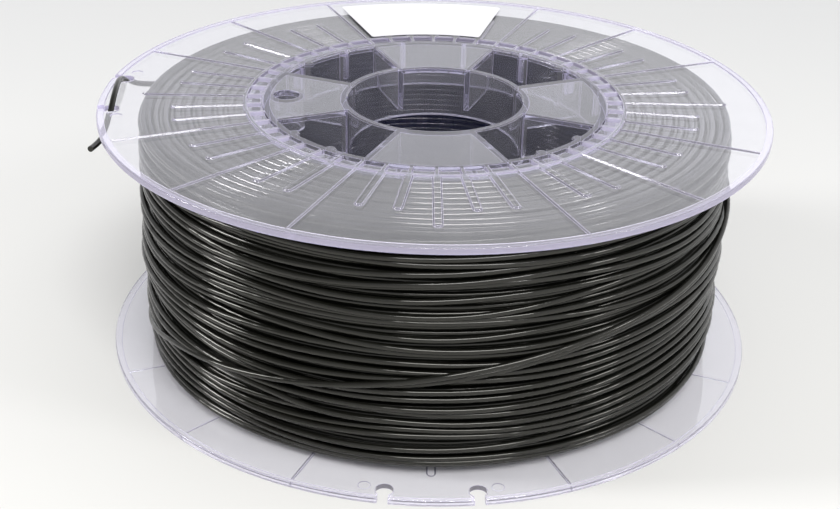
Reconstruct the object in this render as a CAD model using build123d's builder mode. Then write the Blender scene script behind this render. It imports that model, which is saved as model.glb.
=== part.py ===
from build123d import *
import math
import os

# Filament spool: two clear moulded flanges on a clear drum, wound with black filament whose tail is
# threaded through the rim of the upper flange. Millimetres, +Z along the spool's axis, origin at the
# middle of the face it stands on, front towards -Y. Angles are counted from the front towards +X.

# ---- spool
spool_width = 76.8
flange_radius = 100.0
flange_thickness = 2.0
face_recess = 0.5  # the plate's outer face lies this far below the rim, the ribs and the hub
rim_width = 2.0
rim_fillet = 0.4
joint_overlap = 0.5  # how far features of one moulding run into each other

# ---- hub of each flange
bore_radius = 26.3
collar_radius = 28.4
collar_depth = 16.0
skirt_inner_radius = 49.7
skirt_outer_radius = 51.5
skirt_depth = 14.0
spoke_count = 4
spoke_half_angle = 22.5
web_thickness = 1.6
stop_radius = 1.7  # half-round stops inside the skirt
stop_angle = 9.0  # from the middle of a window
window_bevel = 0.4

# ---- ring of pockets over the drum's end
hub_radius = 57.4
pocket_inner_radius = 51.8
pocket_outer_radius = 56.4
pocket_depth = 1.2
pocket_rib_thickness = 1.0  # one pocket rib in line with every rib of the face

# ---- ribs on the outer face, evenly spaced
rib_count = 48
rib_slope = 35.0
bar_width = 2.6
short_bar_end = 78.8
long_bar_end = 88.0
thin_rib_width = 0.9
thin_rib_step = 3  # every third rib is a thin one that reaches the rim

# ---- drive hole and keyholes of each flange, counted from its own index spoke
drive_hole_radius = 4.0
drive_boss_radius = 5.2
drive_hole_distance = 44.7
drive_boss_depth = 10.0
keyhole_angle = 7.5
keyhole_distance = 96.0
keyhole_radius = 2.5
keyhole_slot_width = 3.0
dimple_angle = 11.0
dimple_distance = 94.3
dimple_radius = 1.7
dimple_depth = 0.25

# ---- drum
drum_radius = 57.0
drum_wall = 2.0
gusset_count = 16  # they centre the drum on the skirt
gusset_thickness = 1.2
gusset_depth = 10.0
gusset_clearance = 0.3

# ---- filament
filament_diameter = 1.75
winding_inner_radius = 57.3
winding_radius = 88.0
winding_end_gap = 0.3
winding_turns = 41  # side by side in the outer layer
winding_end_rings = 10  # rings of the winding that lie against each flange
turn_bulge = 0.55

# Route of the free tail as (distance from the axis, angle, height): off the winding, up through one
# keyhole of the upper flange, over its face, down through the other keyhole and out past the rim.
tail_route = [
    (88.7, -121.0, 64.8),
    (89.4, -113.4, 66.0),
    (92.3, -106.5, 68.3),
    (95.8, -99.9, 72.2),
    (96.4, -95.1, 78.9),
    (95.2, -84.8, 78.9),
    (97.0, -80.2, 72.2),
    (99.2, -76.0, 70.6),
    (102.6, -72.4, 71.2),
]

# ---- label
label_inner_radius = 58.5
label_outer_radius = 92.5
label_start_angle = 164.8
label_end_angle = 200.4
label_corner_radius = 1.0
label_thickness = 0.2

os.makedirs("parts", exist_ok=True)


def save(part, name):
    part.label = name
    export_step(part, f"parts/{name}.step")
    print(f"{name}: {part.volume:.0f} mm3 in {len(part.solids())} solid")


def front_point(radius, angle, height):
    """The point at an angle counted from the front."""
    turn = math.radians(angle)
    return Vector(radius * math.sin(turn), -radius * math.cos(turn), height)


def ring(outer, inner):
    Circle(outer)
    Circle(inner, mode=Mode.SUBTRACT)


def bars(angles, inner, outer, width, mode=Mode.ADD):
    """Straight radial bars from one distance to another, one at each angle."""
    for angle in angles:
        with PolarLocations(inner, 1, start_angle=angle):
            Rectangle(outer - inner, width, align=(Align.MIN, Align.CENTER), mode=mode)


def dots(angles, distance, radius, mode=Mode.ADD):
    """Circles at one distance from the axis, one at each angle."""
    for angle in angles:
        with PolarLocations(distance, 1, start_angle=angle):
            Circle(radius, mode=mode)


def round_bars(angles, inner, outer, width):
    """Radial bars whose outer ends are round."""
    bars(angles, inner, outer - width / 2, width)
    dots(angles, outer - width / 2, width / 2)


def evenly(count, start=0.0):
    """Angles evenly spaced round a circle."""
    return [start + 360 * index / count for index in range(count)]


def sort_ribs():
    """The angles of the long bars, the short bars and the thin ribs around a flange."""
    long_bars = evenly(spoke_count)
    thin_ribs = []
    short_bars = []
    for index, angle in enumerate(evenly(rib_count)):
        if angle in long_bars:
            continue
        if index % thin_rib_step == 0:
            thin_ribs.append(angle)
        else:
            short_bars.append(angle)
    return long_bars, short_bars, thin_ribs


def window_outlines(web_angles, stop_angles):
    """The four windows between the spokes, with the stops left standing."""
    reach = skirt_outer_radius
    half_width = reach * math.tan(math.radians(spoke_half_angle))
    ring(skirt_inner_radius, collar_radius)
    with PolarLocations(0, spoke_count):
        Polygon((0, 0), (reach, -half_width), (reach, half_width), align=None, mode=Mode.SUBTRACT)
    bars(web_angles, 0, skirt_outer_radius, web_thickness, mode=Mode.SUBTRACT)
    dots(stop_angles, skirt_inner_radius, stop_radius, mode=Mode.SUBTRACT)


def make_flange(face):
    """One flange moulding, drawn from its outer face inwards, with its index spoke along the x axis."""
    recess_floor = face.offset(face_recess)
    plate_inside = face.offset(flange_thickness)
    long_bars, short_bars, thin_ribs = sort_ribs()
    web_angles = evenly(spoke_count, -spoke_half_angle) + evenly(spoke_count, spoke_half_angle)
    window_middles = evenly(spoke_count, 180 / spoke_count)
    stop_angles = [middle + side * stop_angle for middle in window_middles for side in (-1, 1)]
    keyhole_angles = [-keyhole_angle, keyhole_angle]
    rib_root = hub_radius - joint_overlap

    with BuildPart() as moulding:
        # plate, rim, and the thicker disc of the hub
        with BuildSketch(recess_floor):
            Circle(flange_radius)
        extrude(amount=flange_thickness - face_recess)
        with BuildSketch(face):
            ring(flange_radius, flange_radius - rim_width)
            Circle(hub_radius)
        extrude(amount=flange_thickness)
        rim_edges = moulding.edges().filter_by(GeomType.CIRCLE)
        rim_edges = rim_edges.filter_by(lambda edge: abs(edge.radius - flange_radius) < 0.01)
        fillet(rim_edges, radius=rim_fillet)

        # ribs with sloping sides on the outer face
        with BuildSketch(recess_floor):
            round_bars(long_bars, rib_root, long_bar_end, bar_width)
            round_bars(short_bars, rib_root, short_bar_end, bar_width)
            bars(thin_ribs, rib_root, flange_radius - rim_width / 2, thin_rib_width)
        extrude(amount=-face_recess, taper=rib_slope)

        # bore collar, skirt with its stops, webs along the spokes, drum gussets and drive boss
        with BuildSketch(face):
            ring(collar_radius, bore_radius)
        extrude(amount=collar_depth)
        with BuildSketch(face):
            ring(skirt_outer_radius, skirt_inner_radius)
            dots(stop_angles, skirt_inner_radius, stop_radius)
            web_start = collar_radius - joint_overlap
            web_end = skirt_inner_radius + joint_overlap
            bars(web_angles, web_start, web_end, web_thickness)
        extrude(amount=skirt_depth)
        with BuildSketch(plate_inside):
            bars(
                evenly(gusset_count, 180 / gusset_count),
                skirt_outer_radius - joint_overlap,
                drum_radius - drum_wall - gusset_clearance,
                gusset_thickness,
            )
        extrude(amount=gusset_depth - flange_thickness)
        with BuildSketch(face):
            with Locations((drive_hole_distance, 0)):
                Circle(drive_boss_radius)
        extrude(amount=drive_boss_depth)

        # bore, windows between the spokes, and the drive hole
        with BuildSketch(face):
            Circle(bore_radius)
            with Locations((drive_hole_distance, 0)):
                Circle(drive_hole_radius)
        extrude(amount=collar_depth, mode=Mode.SUBTRACT)
        with BuildSketch(face):
            window_outlines(web_angles, stop_angles)
        extrude(amount=flange_thickness, mode=Mode.SUBTRACT)
        with BuildSketch(face):
            window_outlines(web_angles, stop_angles)
            offset(amount=window_bevel, kind=Kind.INTERSECTION)
            Circle(bore_radius + window_bevel)
        extrude(amount=window_bevel, taper=45, mode=Mode.SUBTRACT)

        # pockets over the drum's end
        with BuildSketch(face):
            ring(pocket_outer_radius, pocket_inner_radius)
            rib_angles = evenly(rib_count)
            bars(rib_angles, skirt_inner_radius, hub_radius, pocket_rib_thickness, mode=Mode.SUBTRACT)
        extrude(amount=pocket_depth, mode=Mode.SUBTRACT)

        # keyholes open to the rim on both sides of the index spoke, and a dimple beside each
        with BuildSketch(face):
            dots(keyhole_angles, keyhole_distance, keyhole_radius)
            bars(keyhole_angles, keyhole_distance, flange_radius + joint_overlap, keyhole_slot_width)
        extrude(amount=flange_thickness, mode=Mode.SUBTRACT)
        with BuildSketch(recess_floor):
            dots([-dimple_angle, dimple_angle], dimple_distance, dimple_radius)
        extrude(amount=dimple_depth, mode=Mode.SUBTRACT)
    return moulding.part


# ---- the two flanges, one moulding used twice: the upper one is turned over and set a quarter turn on
lower_face = Plane(origin=(0, 0, 0), x_dir=(0, -1, 0), z_dir=(0, 0, 1))
upper_face = Plane(origin=(0, 0, spool_width), x_dir=(-1, 0, 0), z_dir=(0, 0, -1))
save(make_flange(lower_face), "lower_flange")
save(make_flange(upper_face), "upper_flange")

# ---- drum, held between the flanges' inner faces
inside_width = spool_width - 2 * flange_thickness
with BuildPart() as drum:
    with BuildSketch(Plane.XY.offset(flange_thickness)):
        ring(drum_radius, drum_radius - drum_wall)
    extrude(amount=inside_width)
save(drum.part, "drum")

# ---- winding: one solid with the rounded turns of its outside and of both ends
winding_bottom = flange_thickness + winding_end_gap
winding_top = spool_width - flange_thickness - winding_end_gap
winding_wall = winding_radius - turn_bulge
turn_pitch = (winding_top - winding_bottom - 2 * turn_bulge) / winding_turns
ring_pitch = (winding_wall - winding_inner_radius) / winding_end_rings
with BuildPart() as winding:
    with BuildSketch(Plane.XZ):
        with BuildLine():
            low = winding_bottom + turn_bulge
            high = winding_top - turn_bulge
            Line((winding_inner_radius, low), (winding_inner_radius, high))
            for index in range(winding_turns):
                z = low + index * turn_pitch
                ThreePointArc(
                    (winding_wall, z), (winding_radius, z + turn_pitch / 2), (winding_wall, z + turn_pitch)
                )
            for index in range(winding_end_rings):
                x = winding_inner_radius + index * ring_pitch
                for edge, bulge in ((low, -turn_bulge), (high, turn_bulge)):
                    ThreePointArc((x, edge), (x + ring_pitch / 2, edge + bulge), (x + ring_pitch, edge))
        make_face()
    revolve(axis=Axis.Z)
save(winding.part, "filament_winding")

# ---- free tail: straight runs joined by arcs as large as the runs allow
tail_points = [front_point(*point) for point in tail_route]
tail_radii = []
for before, corner, after in zip(tail_points, tail_points[1:], tail_points[2:]):
    shorter_run = min((corner - before).length, (after - corner).length)
    half_turn = math.radians((corner - before).get_angle(after - corner)) / 2
    tail_radii.append(0.45 * shorter_run / math.tan(half_turn))
with BuildPart() as tail:
    with BuildLine() as tail_path:
        FilletPolyline(*tail_points, radius=tail_radii)
    with BuildSketch(Plane(origin=tail_path.line @ 0, z_dir=tail_path.line % 0)):
        Circle(filament_diameter / 2)
    sweep()
save(tail.part, "filament_tail")
tail_section = math.pi * filament_diameter**2 / 4
print("tail radii:", [round(radius, 1) for radius in tail_radii])
tail_length = tail_path.wire().length
print(f"tail length {tail_length:.1f} mm, section x length {tail_section * tail_length:.1f} mm3, "
      f"volume {tail.part.volume:.1f} mm3")

# ---- label on the upper flange, resting on its ribs
with BuildPart() as label:
    with BuildSketch(Plane.XY.offset(spool_width)) as label_outline:
        with BuildLine():
            start = label_start_angle - 90
            sweep_angle = label_end_angle - label_start_angle
            inner_arc = CenterArc((0, 0), label_inner_radius, start, sweep_angle)
            outer_arc = CenterArc((0, 0), label_outer_radius, start, sweep_angle)
            Line(inner_arc @ 0, outer_arc @ 0)
            Line(inner_arc @ 1, outer_arc @ 1)
        make_face()
        fillet(label_outline.vertices(), radius=label_corner_radius)
    extrude(amount=label_thickness)
save(label.part, "label")
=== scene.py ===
import math

import bpy
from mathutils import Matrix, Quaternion, Vector, noise


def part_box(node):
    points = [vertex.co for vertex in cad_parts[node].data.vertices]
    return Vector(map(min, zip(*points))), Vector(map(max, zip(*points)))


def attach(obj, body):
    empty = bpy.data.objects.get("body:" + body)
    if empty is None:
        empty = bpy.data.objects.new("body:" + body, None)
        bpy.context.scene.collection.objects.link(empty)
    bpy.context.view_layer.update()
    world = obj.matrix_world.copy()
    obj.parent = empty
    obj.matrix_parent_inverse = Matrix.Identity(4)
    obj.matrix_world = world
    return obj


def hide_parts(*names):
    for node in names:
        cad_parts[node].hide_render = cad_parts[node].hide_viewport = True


# Looks of the filament spool: clear flanges and drum, black filament, paper label, in a pale studio.
# Metres, in the frame's own axes. Angles are in degrees, counted from the front (-Y) towards +X.

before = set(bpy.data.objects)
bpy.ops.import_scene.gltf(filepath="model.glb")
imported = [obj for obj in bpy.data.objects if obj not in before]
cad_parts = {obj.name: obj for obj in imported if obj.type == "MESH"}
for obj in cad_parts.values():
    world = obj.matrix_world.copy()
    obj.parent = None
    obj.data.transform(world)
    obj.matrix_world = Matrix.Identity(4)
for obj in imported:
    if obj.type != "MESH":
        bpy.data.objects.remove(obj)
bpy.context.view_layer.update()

MM = 0.001


# ---- sizes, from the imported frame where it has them
def node_radius(node):
    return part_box(node)[1].x


FILAMENT_DIAMETER = 1.75 * MM
SKIRT_INSET = 5.5 * MM  # how far the hub's skirt stands inside the drum's outer face

spool_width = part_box("upper_flange")[1].z
flange_radius = node_radius("lower_flange")
drum_radius = node_radius("drum")
skirt_radius = drum_radius - SKIRT_INSET
winding_radius = node_radius("filament_winding")
winding_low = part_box("filament_winding")[0].z
winding_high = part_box("filament_winding")[1].z
filament_radius = 0.5 * FILAMENT_DIAMETER


def at(radius, angle, height):
    """The point at a distance from the axis, an angle counted from the front, and a height."""
    turn = math.radians(angle)
    return Vector((radius * math.sin(turn), -radius * math.cos(turn), height))


# ---- camera
CAMERA_PLACE = (0.4085, -1.1, 0.2340)  # distance from the axis, angle, height
CAMERA_AIM = (-0.0037, -0.0262, 0.0370)
CAMERA_ROLL = 1.32
CAMERA_LENS = 61.9


def make_camera():
    camera = bpy.data.objects.new("camera", bpy.data.cameras.new("camera"))
    bpy.context.scene.collection.objects.link(camera)
    camera.location = at(*CAMERA_PLACE)
    view = Vector(CAMERA_AIM) - camera.location
    camera.rotation_mode = "QUATERNION"
    camera.rotation_quaternion = view.to_track_quat("-Z", "Y")
    camera.rotation_quaternion @= Quaternion((0, 0, 1), math.radians(CAMERA_ROLL))
    camera.data.lens = CAMERA_LENS
    camera.data.clip_start = 0.01
    camera.data.clip_end = 20.0
    bpy.context.scene.camera = camera


make_camera()


# ---- node helpers
class Nodes:
    """A small wrapper that makes shader nodes and links them."""

    def __init__(self, tree):
        self.tree = tree
        tree.nodes.clear()

    def add(self, kind, inputs=None, **settings):
        node = self.tree.nodes.new(kind)
        for name, value in settings.items():
            setattr(node, name, value)
        for name, value in (inputs or {}).items():
            self.put(node.inputs[name], value)
        return node

    def put(self, socket, value):
        """Links another node's output to a socket, or sets the socket to a plain value."""
        if isinstance(value, bpy.types.NodeSocket):
            self.tree.links.new(value, socket)
        else:
            socket.default_value = value

    def math(self, operation, *values):
        node = self.add("ShaderNodeMath", operation=operation)
        for socket, value in zip(node.inputs, values):
            self.put(socket, value)
        return node.outputs[0]

    def range(self, value, low, high, to_low=0.0, to_high=1.0):
        """The value taken from low...high to to_low...to_high, and held within them."""
        inputs = {"Value": value, "From Min": low, "From Max": high, "To Min": to_low, "To Max": to_high}
        return self.add("ShaderNodeMapRange", inputs).outputs[0]

    def noise(self, scale, detail, place):
        inputs = {"Scale": scale, "Detail": detail, "Vector": place}
        return self.add("ShaderNodeTexNoise", inputs).outputs[0]

    def blend(self, factor, first, second):
        """A colour between two colours."""
        mix = self.add("ShaderNodeMix", {"Factor": factor}, data_type="RGBA")
        self.put(mix.inputs["A"], first)
        self.put(mix.inputs["B"], second)
        return mix.outputs["Result"]

    def mix_shaders(self, factor, first, second):
        mix = self.add("ShaderNodeMixShader", {"Fac": factor})
        self.put(mix.inputs[1], first)
        self.put(mix.inputs[2], second)
        return mix.outputs[0]

    def place(self):
        return self.add("ShaderNodeTexCoord").outputs["Object"]

    def facing(self):
        """X, Y and Z of the surface's direction in the frame's axes."""
        normal = self.add("ShaderNodeTexCoord").outputs["Normal"]
        return self.add("ShaderNodeSeparateXYZ", {"Vector": normal}).outputs


def new_material(name):
    material = bpy.data.materials.new(name)
    material.use_nodes = True
    return material, Nodes(material.node_tree)


# ---- materials
CLEAR_IOR = 1.59
TINT_COLOUR = (0.45, 0.40, 0.79, 1.0)
TINT_DENSITY = 25.0
EDGE_ROUNDING = 0.3 * MM  # moulded edges are never sharp
RIM_STRIP = 2.0 * MM  # width of the strip along a flange's rim that gets painted glow
RIM_BLUR = 0.2 * MM
SATIN_START = 1.0 * MM  # over this distance outside the skirt the polish gives way to satin
FLANGE_MILK = (0.86, 0.85, 0.88, 1.0)
DRUM_MILK = (0.20, 0.25, 0.85, 1.0)
# Violet of the painted glow at edges and walls: painted light that stands for light the tinted plate gathers
# and lets out.
PAINTED_GLOW_VIOLET = (0.79, 0.73, 0.96, 1.0)


def painted_glow_outline(nodes, rounded, spread, plate, edge_painted_glow, wall_painted_glow):
    """The share of painted glow at rounded edges, on the plate's upright walls and along the rim: painted
    highlights, and painted light that stands for the light gathered in the plate coming out.
    """
    flat = nodes.add("ShaderNodeNewGeometry").outputs["Normal"]
    bend = nodes.add("ShaderNodeVectorMath", {0: flat, 1: rounded}, operation="DOT_PRODUCT")
    # Painted highlight on rounded edges; below, painted glow on upright walls and along the rim.
    edge = nodes.range(bend.outputs["Value"], 0.995, 0.85, 0.0, edge_painted_glow)
    upright = nodes.range(nodes.math("ABSOLUTE", nodes.facing()["Z"]), 0.3, 0.8, wall_painted_glow, 0.0)
    wall = nodes.math("MULTIPLY", upright, plate)
    rim_start = flange_radius - RIM_STRIP
    rim = nodes.range(spread, rim_start - RIM_BLUR, rim_start + RIM_BLUR, 0.0, 0.7 * wall_painted_glow)
    return nodes.math("MAXIMUM", edge, nodes.math("MAXIMUM", wall, rim))


def unbent_rays(nodes):
    """
    1 for the rays that pass clear plastic unbent: shadow rays, rays off a matt surface, and rays that
    something outside the plastic mirrors. 0 for the rest, such as what the camera sees.
    """
    path = nodes.add("ShaderNodeLightPath").outputs
    mirrored = nodes.math("SUBTRACT", path["Is Glossy Ray"], path["Is Transmission Ray"])
    inside = nodes.math("MODULO", path["Transmission Depth"], 2.0)
    bounced = nodes.math("MAXIMUM", path["Is Diffuse Ray"], nodes.math("SUBTRACT", mirrored, inside))
    return nodes.math("MAXIMUM", path["Is Shadow Ray"], bounced)


def clear_plastic(name, milk, hub_haze, plate_haze, edge_painted_glow, wall_painted_glow):
    """
    Clear polystyrene with a blue-violet tint that grows with its depth.
    The haze shares say how much light it scatters in the polished hub and on the satin plate; the haze
    has the colour milk. At its edges and on the plate's upright walls it gets painted glow instead of
    haze: painted highlights, and violet painted light that stands for the light gathered in the plate
    coming out.
    """
    material, nodes = new_material(name)
    place = nodes.place()
    cloud = nodes.noise(90.0, 3.0, place)
    rounded = nodes.add("ShaderNodeBevel", {"Radius": EDGE_ROUNDING}, samples=4).outputs[0]
    ripple = nodes.add("ShaderNodeBump", {
        "Strength": 0.05,
        "Distance": 0.4 * MM,
        "Height": nodes.noise(55.0, 1.0, place),
        "Normal": rounded,
    })
    plastic = nodes.add("ShaderNodeBsdfPrincipled", {
        "Base Color": (0.97, 0.97, 1.0, 1.0),
        "Roughness": nodes.range(cloud, 0.35, 0.75, 0.015, 0.07),
        "IOR": CLEAR_IOR,
        "Transmission Weight": 1.0,
        "Normal": ripple.outputs[0],
    })
    level = nodes.add("ShaderNodeVectorMath", {0: place, 1: (1.0, 1.0, 0.0)}, operation="MULTIPLY")
    spread = nodes.add("ShaderNodeVectorMath", {0: level.outputs[0]}, operation="LENGTH").outputs["Value"]
    plate = nodes.range(spread, skirt_radius, skirt_radius + SATIN_START)
    face = nodes.math("ADD", hub_haze, nodes.math("MULTIPLY", plate, plate_haze - hub_haze))
    cloudy = nodes.math("MULTIPLY", face, nodes.range(cloud, 0.3, 0.7, 0.8, 1.2))
    painted_glow_share = painted_glow_outline(nodes, rounded, spread, plate, edge_painted_glow, wall_painted_glow)
    # Its colour is the haze's milk, turning violet where the painted glow is.
    haze_and_painted_glow = nodes.add("ShaderNodeBsdfPrincipled", {
        "Base Color": nodes.blend(nodes.range(painted_glow_share, 0.0, 0.3), milk, PAINTED_GLOW_VIOLET),
        "Roughness": 0.4,
        "Specular IOR Level": 0.3,
    })
    share = nodes.math("MAXIMUM", cloudy, painted_glow_share)
    hazy_and_painted_glow = nodes.mix_shaders(share, plastic.outputs[0], haze_and_painted_glow.outputs[0])
    unbent = nodes.add("ShaderNodeBsdfTransparent", {"Color": (0.985, 0.985, 0.99, 1.0)})
    surface = nodes.mix_shaders(unbent_rays(nodes), hazy_and_painted_glow, unbent.outputs[0])
    tint = nodes.add("ShaderNodeVolumeAbsorption", {"Color": TINT_COLOUR, "Density": TINT_DENSITY})
    nodes.add("ShaderNodeOutputMaterial", {"Surface": surface, "Volume": tint.outputs[0]})
    return material


def black_filament(name, ior):
    """Glossy black plastic strand with a faint drawn texture. A higher ior gives it more sheen."""
    material, nodes = new_material(name)
    place = nodes.place()
    patches = nodes.noise(45.0, 2.0, place)
    kinks = nodes.add("ShaderNodeBump", {
        "Strength": 0.6,
        "Distance": 0.5 * MM,
        "Height": nodes.noise(130.0, 1.0, place),
    })
    grain = nodes.add("ShaderNodeBump", {
        "Strength": 0.12,
        "Distance": 0.1 * MM,
        "Height": nodes.noise(900.0, 2.0, place),
        "Normal": kinks.outputs[0],
    })
    plastic = nodes.add("ShaderNodeBsdfPrincipled", {
        "Base Color": nodes.blend(patches, (0.004, 0.004, 0.003, 1.0), (0.009, 0.009, 0.007, 1.0)),
        "Roughness": nodes.range(patches, 0.3, 0.7, 0.10, 0.20),
        "IOR": ior,
        "Specular Tint": (1.0, 0.98, 0.92, 1.0),
        "Normal": grain.outputs[0],
    })
    nodes.add("ShaderNodeOutputMaterial", {"Surface": plastic.outputs[0]})
    return material


def label_paper():
    """White satin paper with faint fibres."""
    material, nodes = new_material("label_paper_print")
    fibres = nodes.noise(1400.0, 4.0, nodes.place())
    bump = nodes.add("ShaderNodeBump", {"Strength": 0.1, "Distance": 0.1 * MM, "Height": fibres})
    paper = nodes.add("ShaderNodeBsdfPrincipled", {
        "Base Color": nodes.blend(fibres, (0.77, 0.76, 0.79, 1.0), (0.81, 0.80, 0.83, 1.0)),
        "Roughness": nodes.range(fibres, 0.3, 0.7, 0.38, 0.5),
        "Normal": bump.outputs[0],
    })
    nodes.add("ShaderNodeOutputMaterial", {"Surface": paper.outputs[0]})
    return material


def dress(obj, material):
    """Gives an object one material."""
    obj.data.materials.clear()
    obj.data.materials.append(material)


# ---- free tail: the cord, off the winding, up through one keyhole of the upper flange, over its face,
# down through the other keyhole and out past the rim
TAIL_ROUTE = [  # distance from the axis in mm, angle, height in mm
    (88.7, -121.0, 64.8),
    (89.4, -113.4, 66.0),
    (92.3, -106.5, 68.3),
    (95.8, -99.9, 72.2),
    (96.4, -95.1, 78.9),
    (95.2, -84.8, 78.9),
    (97.0, -80.2, 72.2),
    (99.2, -76.0, 70.6),
    (102.6, -72.4, 71.2),
]


def make_tail(material):
    curve = bpy.data.curves.new("filament_end", "CURVE")
    curve.dimensions = "3D"
    curve.bevel_depth = filament_radius
    curve.bevel_resolution = 5
    curve.resolution_u = 12
    curve.use_fill_caps = True
    line = curve.splines.new("NURBS")
    line.points.add(len(TAIL_ROUTE) - 1)
    for point, (radius, angle, height) in zip(line.points, TAIL_ROUTE):
        point.co = (*at(radius * MM, angle, height * MM), 1.0)
    line.order_u = 3
    line.use_endpoint_u = True
    tail = bpy.data.objects.new("filament_end", curve)
    bpy.context.scene.collection.objects.link(tail)
    dress(tail, material)
    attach(tail, "root")
    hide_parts("filament_tail")


filament = black_filament("black_filament", 1.5)
# More sheen than real filament has, so that the turns against a flange show through it as rings.
pressed_filament = black_filament("black_filament_pressed", 2.1)
make_tail(filament)


# ---- winding
class Tubes:
    """Collects round strands into one mesh."""

    def __init__(self):
        self.points = []
        self.faces = []

    def add(self, path, radius, sides, closed=False):
        """Adds a tube along a path, joined end to end if closed, and capped at both ends if not."""
        first = len(self.points)
        count = len(path)
        for index, here in enumerate(path):
            if closed:
                before = path[index - 1]
                after = path[(index + 1) % count]
            else:
                before = path[max(index - 1, 0)]
                after = path[min(index + 1, count - 1)]
            along = (after - before).normalized()
            outward = Vector((here.x, here.y, 0)).normalized()
            across = along.cross(outward).normalized()
            outward = across.cross(along)
            for side in range(sides):
                turn = math.tau * side / sides
                self.points.append(here + radius * (math.cos(turn) * outward + math.sin(turn) * across))
        for index in range(count if closed else count - 1):
            ring = first + index * sides
            next_ring = first + (index + 1) % count * sides
            for side in range(sides):
                beside = (side + 1) % sides
                self.faces.append((ring + side, ring + beside, next_ring + beside, next_ring + side))
        if not closed:
            last = first + (count - 1) * sides
            self.faces.append(tuple(first + side for side in reversed(range(sides))))
            self.faces.append(tuple(last + side for side in range(sides)))

    def make(self, name, material):
        mesh = bpy.data.meshes.new(name)
        mesh.from_pydata(self.points, [], self.faces)
        mesh.polygons.foreach_set("use_smooth", [len(face) == 4 for face in self.faces])
        mesh.update()
        made = bpy.data.objects.new(name, mesh)
        bpy.context.scene.collection.objects.link(made)
        dress(made, material)
        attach(made, "root")
        return made


def wander(angle, height, around, up, seed):
    """
    Smooth noise from about -1 to 1 on the winding's surface, the same all the way round. around and
    up say how fast it changes along a turn and from turn to turn.
    """
    turn = math.radians(angle)
    spot = Vector((around * math.cos(turn), around * math.sin(turn), up * height / MM + seed))
    return 2.0 * noise.noise(spot)


def smooth_steps(knots, angle):
    """The values at an angle, on a smooth curve through the knots (angle, value, value...)."""
    index = 0
    while index < len(knots) - 2 and angle > knots[index + 1][0]:
        index += 1
    before = knots[index]
    after = knots[index + 1]
    first = knots[max(index - 1, 0)]
    last = knots[min(index + 2, len(knots) - 1)]
    span = after[0] - before[0]
    share = min(max((angle - before[0]) / span, 0.0), 1.0)
    values = []
    for column in range(1, len(before)):
        leave = (after[column] - first[column]) / (after[0] - first[0]) * span
        arrive = (last[column] - before[column]) / (last[0] - before[0]) * span
        values.append(
            (2 * share**3 - 3 * share**2 + 1) * before[column]
            + (share**3 - 2 * share**2 + share) * leave
            + (3 * share**2 - 2 * share**3) * after[column]
            + (share**3 - share**2) * arrive
        )
    return values


OUTER_PITCH = 2.6 * MM
OUTER_RISE = 1.2 * MM  # how far above the winding's lower face the outer layers start
OUTER_BULGE = 1.3 * MM  # how far the loose outer layers swell out at half height
OUTER_LIFT = 0.1 * MM  # how far the outer layer stands proud of the CAD winding before it swells
CROSSING_LIFT = 0.4 * MM  # the same for the strands that cross over the outer layer
UNDER_PITCH = 1.9 * MM
UNDER_STEP = 2.1 * MM  # from the outer layer in to the one that shows between its turns
INNER_PITCH = 1.82 * MM
INNER_GAP = 0.15 * MM  # between the drum and its first layer
LAYER_STEP = 1.55 * MM  # between neighbouring turns against a flange
END_GAP = 0.3 * MM  # between the drum and the first of them
END_SINK = 0.9 * MM  # how much deeper every second one lies
END_FADE = 4 * MM  # over this height the strands come back into line beside a flange
BACK = 180.0  # where a climbing strand starts


def swelling(height):
    """The winding's swelling at a height: 0 at its ends, OUTER_BULGE halfway, and fuller than an arch."""
    rise = (height - winding_low) / (winding_high - winding_low)
    return OUTER_BULGE * math.sin(math.pi * rise) ** 0.6


def helix(radius, low, high, pitch, step, loose, seed, swells=False):
    """
    A strand that climbs from low to high between a level turn at each end, with a point every step
    degrees. It strays by about the amount loose, further up and down than in and out.
    """
    path = []
    turns = (high - low) / pitch + 2
    for index in range(int(turns * 360 / step) + 1):
        angle = index * step
        height = min(max(low + pitch * (angle / 360 - 1), low), high)
        edge = min(height - low, high - height) / END_FADE
        stray = 1.5 * loose * wander(angle, height, 1.3, 0.2, seed) * min(max(edge, 0.0), 1.0)
        sink = 0.8 * loose * (wander(angle, height, 0.9, 0.6, seed + 40.0) - 0.4)
        bulge = swelling(height) if swells else 0.0
        path.append(at(radius + bulge + sink, angle + BACK, height + stray))
    return path


def outer_turns():
    """The outer layer, and the one under it that shows between its turns."""
    tubes = Tubes()
    low = winding_low + filament_radius + OUTER_RISE
    high = winding_high - filament_radius
    radius = winding_radius - filament_radius + OUTER_LIFT
    over = helix(radius, low, high, OUTER_PITCH, step=3, loose=1.0 * MM, seed=3.0, swells=True)
    tubes.add(over, filament_radius, sides=10)
    radius -= UNDER_STEP
    under = helix(radius, low, high, UNDER_PITCH, step=4, loose=0.25 * MM, seed=11.0, swells=True)
    tubes.add(under, filament_radius, sides=8)
    return tubes.make("winding_outer_turns", filament)


CROSSING_STRANDS = [  # angle, height in mm, and lift beyond CROSSING_LIFT in mm
    [(-95, 10.0, -1.6), (-75, 12.5, 0.3), (-55, 20.0, 1.0), (-35, 24.4, 1.0), (-12, 30.0, 1.0),
     (9, 36.0, 1.0), (31, 41.2, 1.0), (55, 45.5, 1.0), (80, 53.0, 0.8), (105, 60.0, -1.6)],
    [(-80, 18.0, -1.4), (-58, 21.5, 0.4), (-43, 22.3, 0.5), (-31, 21.4, 0.5), (-18, 19.0, 0.2),
     (0, 18.0, -1.4)],
    [(-10, 28.5, -1.4), (5, 33.4, 0.7), (25, 38.8, 0.8), (40, 41.6, 0.7), (60, 44.5, 0.5),
     (85, 47.0, -1.4)],
]
CROSSING_ANGLE_STEP = 2  # degrees between points


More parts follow.
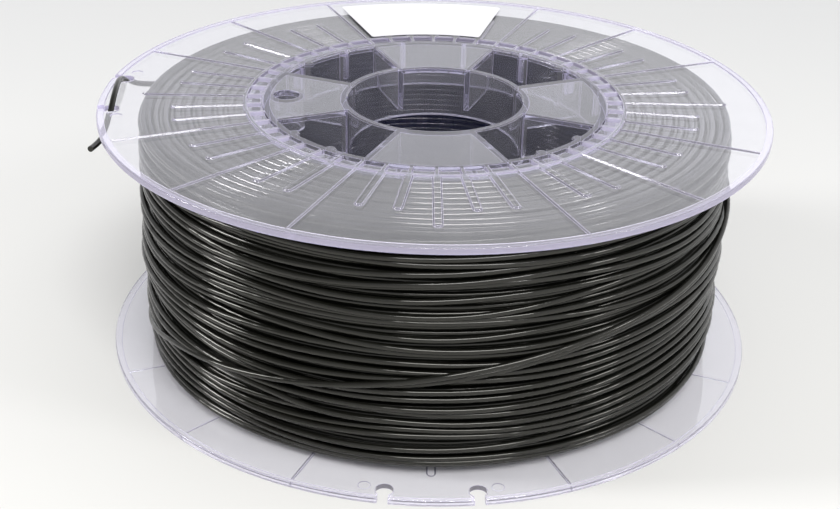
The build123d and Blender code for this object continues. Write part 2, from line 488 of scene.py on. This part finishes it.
def crossing_turns():
    """Strands that cross over the outer layer and dive back into it at both ends."""
    tubes = Tubes()
    radius = winding_radius - filament_radius + CROSSING_LIFT
    for knots in CROSSING_STRANDS:
        path = []
        for angle in range(knots[0][0], knots[-1][0] + 1, CROSSING_ANGLE_STEP):
            height, lift = smooth_steps(knots, angle)
            path.append(at(radius + lift * MM + swelling(height * MM), angle, height * MM))
        tubes.add(path, filament_radius, sides=12)
    return tubes.make("winding_crossing_strands", filament)


def end_turns(name, height, inwards, step, sides):
    """
    The turns that lie against a flange, where the winding ends at a height. inwards is 1 or -1, the
    way from the flange into the winding.
    """
    tubes = Tubes()
    radius = drum_radius + filament_radius + END_GAP
    index = 0
    while radius < winding_radius - 2 * LAYER_STEP:
        path = []
        for angle in range(0, 360, step):
            wave = wander(angle, index * 2 * MM, 1.2, 1.0, seed=70.0)
            dip = wander(angle, index * 2 * MM, 0.9, 1.0, seed=95.0)
            depth = filament_radius + END_SINK * (index % 2) + (0.35 * max(dip, -0.3) + 0.12) * MM
            path.append(at(radius + 0.35 * MM * wave, angle, height + inwards * depth))
        tubes.add(path, filament_radius, sides, closed=True)
        radius += LAYER_STEP
        index += 1
    return tubes.make(name, pressed_filament)


def inner_turns():
    """The first layer, seen through the drum."""
    tubes = Tubes()
    low = winding_low + filament_radius
    high = winding_high - filament_radius
    radius = drum_radius + filament_radius + INNER_GAP
    first_layer = helix(radius, low, high, INNER_PITCH, step=5, loose=0.03 * MM, seed=21.0)
    tubes.add(first_layer, filament_radius, sides=8)
    return tubes.make("winding_inner_turns", filament)


CORE_STEPS = 96


def winding_core():
    """What fills the winding between its outer, inner and end turns."""
    inner = drum_radius + 1.2 * filament_radius
    outer = winding_radius - 2.6 * LAYER_STEP
    low = winding_low + 2.2 * filament_radius
    high = winding_high - 2.2 * filament_radius
    profile = [(inner, low), (outer, low), (outer, high), (inner, high)]
    tubes = Tubes()
    for index in range(CORE_STEPS):
        for radius, height in profile:
            tubes.points.append(at(radius, 360 * index / CORE_STEPS, height))
    for index in range(CORE_STEPS):
        here = 4 * index
        after = 4 * ((index + 1) % CORE_STEPS)
        for corner in range(4):
            beside = (corner + 1) % 4
            tubes.faces.append((here + corner, after + corner, after + beside, here + beside))
    return tubes.make("winding_core", filament)


outer = outer_turns()
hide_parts("filament_winding")
crossing_turns()
end_turns("winding_upper_end", winding_high, inwards=-1, step=3, sides=10)
end_turns("winding_lower_end", winding_low, inwards=1, step=5, sides=8)
inner_turns()
winding_core()


# ---- clear mouldings and label keep their CAD meshes
# The edge and wall shares given to each moulding are painted glow: painted highlights and painted light.
dress(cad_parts["upper_flange"], clear_plastic(
    "clear_polystyrene", FLANGE_MILK, hub_haze=0.044, plate_haze=0.045, edge_painted_glow=0.65, wall_painted_glow=0.32))
dress(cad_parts["lower_flange"], clear_plastic(
    "clear_polystyrene_low", FLANGE_MILK, hub_haze=0.04, plate_haze=0.03, edge_painted_glow=0.5, wall_painted_glow=0.16))
dress(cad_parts["drum"], clear_plastic(
    "clear_tube", DRUM_MILK, hub_haze=0.015, plate_haze=0.015, edge_painted_glow=0.3, wall_painted_glow=0.015))
dress(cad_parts["label"], label_paper())


# ---- studio
FLOOR_HALF = 2.5
FLOOR_DROP = 0.1 * MM  # keeps the floor's face apart from the flange's


def make_floor():
    """A pale floor with painted light falloff: a little lighter and warmer in front of the spool than
    behind it.
    """
    material, nodes = new_material("pale_floor")
    place = nodes.place()
    patches = nodes.math("MULTIPLY", nodes.noise(6.0, 2.0, place), 0.1)
    depth = nodes.add("ShaderNodeSeparateXYZ", {"Vector": place}).outputs["Y"]
    # Painted falloff of the light: the floor's colour darkens towards the back.
    front = nodes.range(depth, -0.25, 0.45, 1.0, 0.0)
    painted_falloff_colour = nodes.blend(nodes.math("ADD", front, patches), (0.62, 0.62, 0.62, 1.0), (0.78, 0.77, 0.74, 1.0))
    paint = nodes.add("ShaderNodeBsdfPrincipled", {"Base Color": painted_falloff_colour, "Roughness": 0.6})
    nodes.add("ShaderNodeOutputMaterial", {"Surface": paint.outputs[0]})
    corners = [(x * FLOOR_HALF, y * FLOOR_HALF, 0) for x, y in [(-1, -1), (1, -1), (1, 1), (-1, 1)]]
    mesh = bpy.data.meshes.new("floor")
    mesh.from_pydata(corners, [], [(0, 1, 2, 3)])
    floor = bpy.data.objects.new("floor", mesh)
    floor.location.z = -FLOOR_DROP
    bpy.context.scene.collection.objects.link(floor)
    dress(floor, material)


def make_world():
    """
    Soft surroundings, darkest on the left and brightest low at the back. What the camera sees of
    them is a pale backdrop.
    """
    world = bpy.data.worlds.new("studio")
    bpy.context.scene.world = world
    world.use_nodes = True
    nodes = Nodes(world.node_tree)
    generated = nodes.add("ShaderNodeTexCoord").outputs["Generated"]
    way = nodes.add("ShaderNodeSeparateXYZ", {"Vector": generated}).outputs
    back = nodes.range(way["Y"], 0.2, 0.9, 0.0, 0.95)
    low = nodes.range(way["Z"], 0.1, 0.8, 1.0, 0.3)
    right = nodes.range(way["X"], 0.0, 0.9, 0.0, 0.72)
    up = nodes.range(way["Z"], 0.0, 0.9, 0.13, 0.28)
    front = nodes.range(way["Y"], -0.9, -0.3, 0.7, 0.0)
    side = nodes.math("ADD", nodes.math("MULTIPLY", back, low), nodes.math("ADD", right, front))
    seen = nodes.math("MULTIPLY", nodes.add("ShaderNodeLightPath").outputs["Is Camera Ray"], 0.85)
    strength = nodes.math("MAXIMUM", nodes.math("ADD", up, side), seen)
    surroundings = nodes.add("ShaderNodeBackground", {"Color": (0.97, 0.98, 1.0, 1.0), "Strength": strength})
    nodes.add("ShaderNodeOutputWorld", {"Surface": surroundings.outputs[0]})


SOFTBOX_DISTANCE = 2.2


def make_softbox(name, azimuth, elevation, width, height, radiance):
    """An area light aimed at the spool's middle, at an azimuth counted from the front."""
    light = bpy.data.lights.new(name, "AREA")
    light.shape = "RECTANGLE"
    light.size = width
    light.size_y = height
    light.energy = math.pi * width * height * radiance
    box = bpy.data.objects.new(name, light)
    bpy.context.scene.collection.objects.link(box)
    level = SOFTBOX_DISTANCE * math.cos(math.radians(elevation))
    rise = SOFTBOX_DISTANCE * math.sin(math.radians(elevation))
    middle = Vector((0, 0, spool_width / 2))
    box.location = middle + at(level, azimuth, rise)
    box.rotation_mode = "QUATERNION"
    box.rotation_quaternion = (middle - box.location).to_track_quat("-Z", "Y")
    box.visible_camera = False


make_floor()
make_world()
make_softbox("softbox_above", azimuth=14, elevation=55, width=1.3, height=0.6, radiance=13.0)
make_softbox("softbox_left", azimuth=-88, elevation=27, width=0.34, height=1.2, radiance=18.0)
make_softbox("softbox_right", azimuth=68, elevation=32, width=0.4, height=0.4, radiance=14.0)
bpy.context.scene.view_settings.view_transform = "Standard"
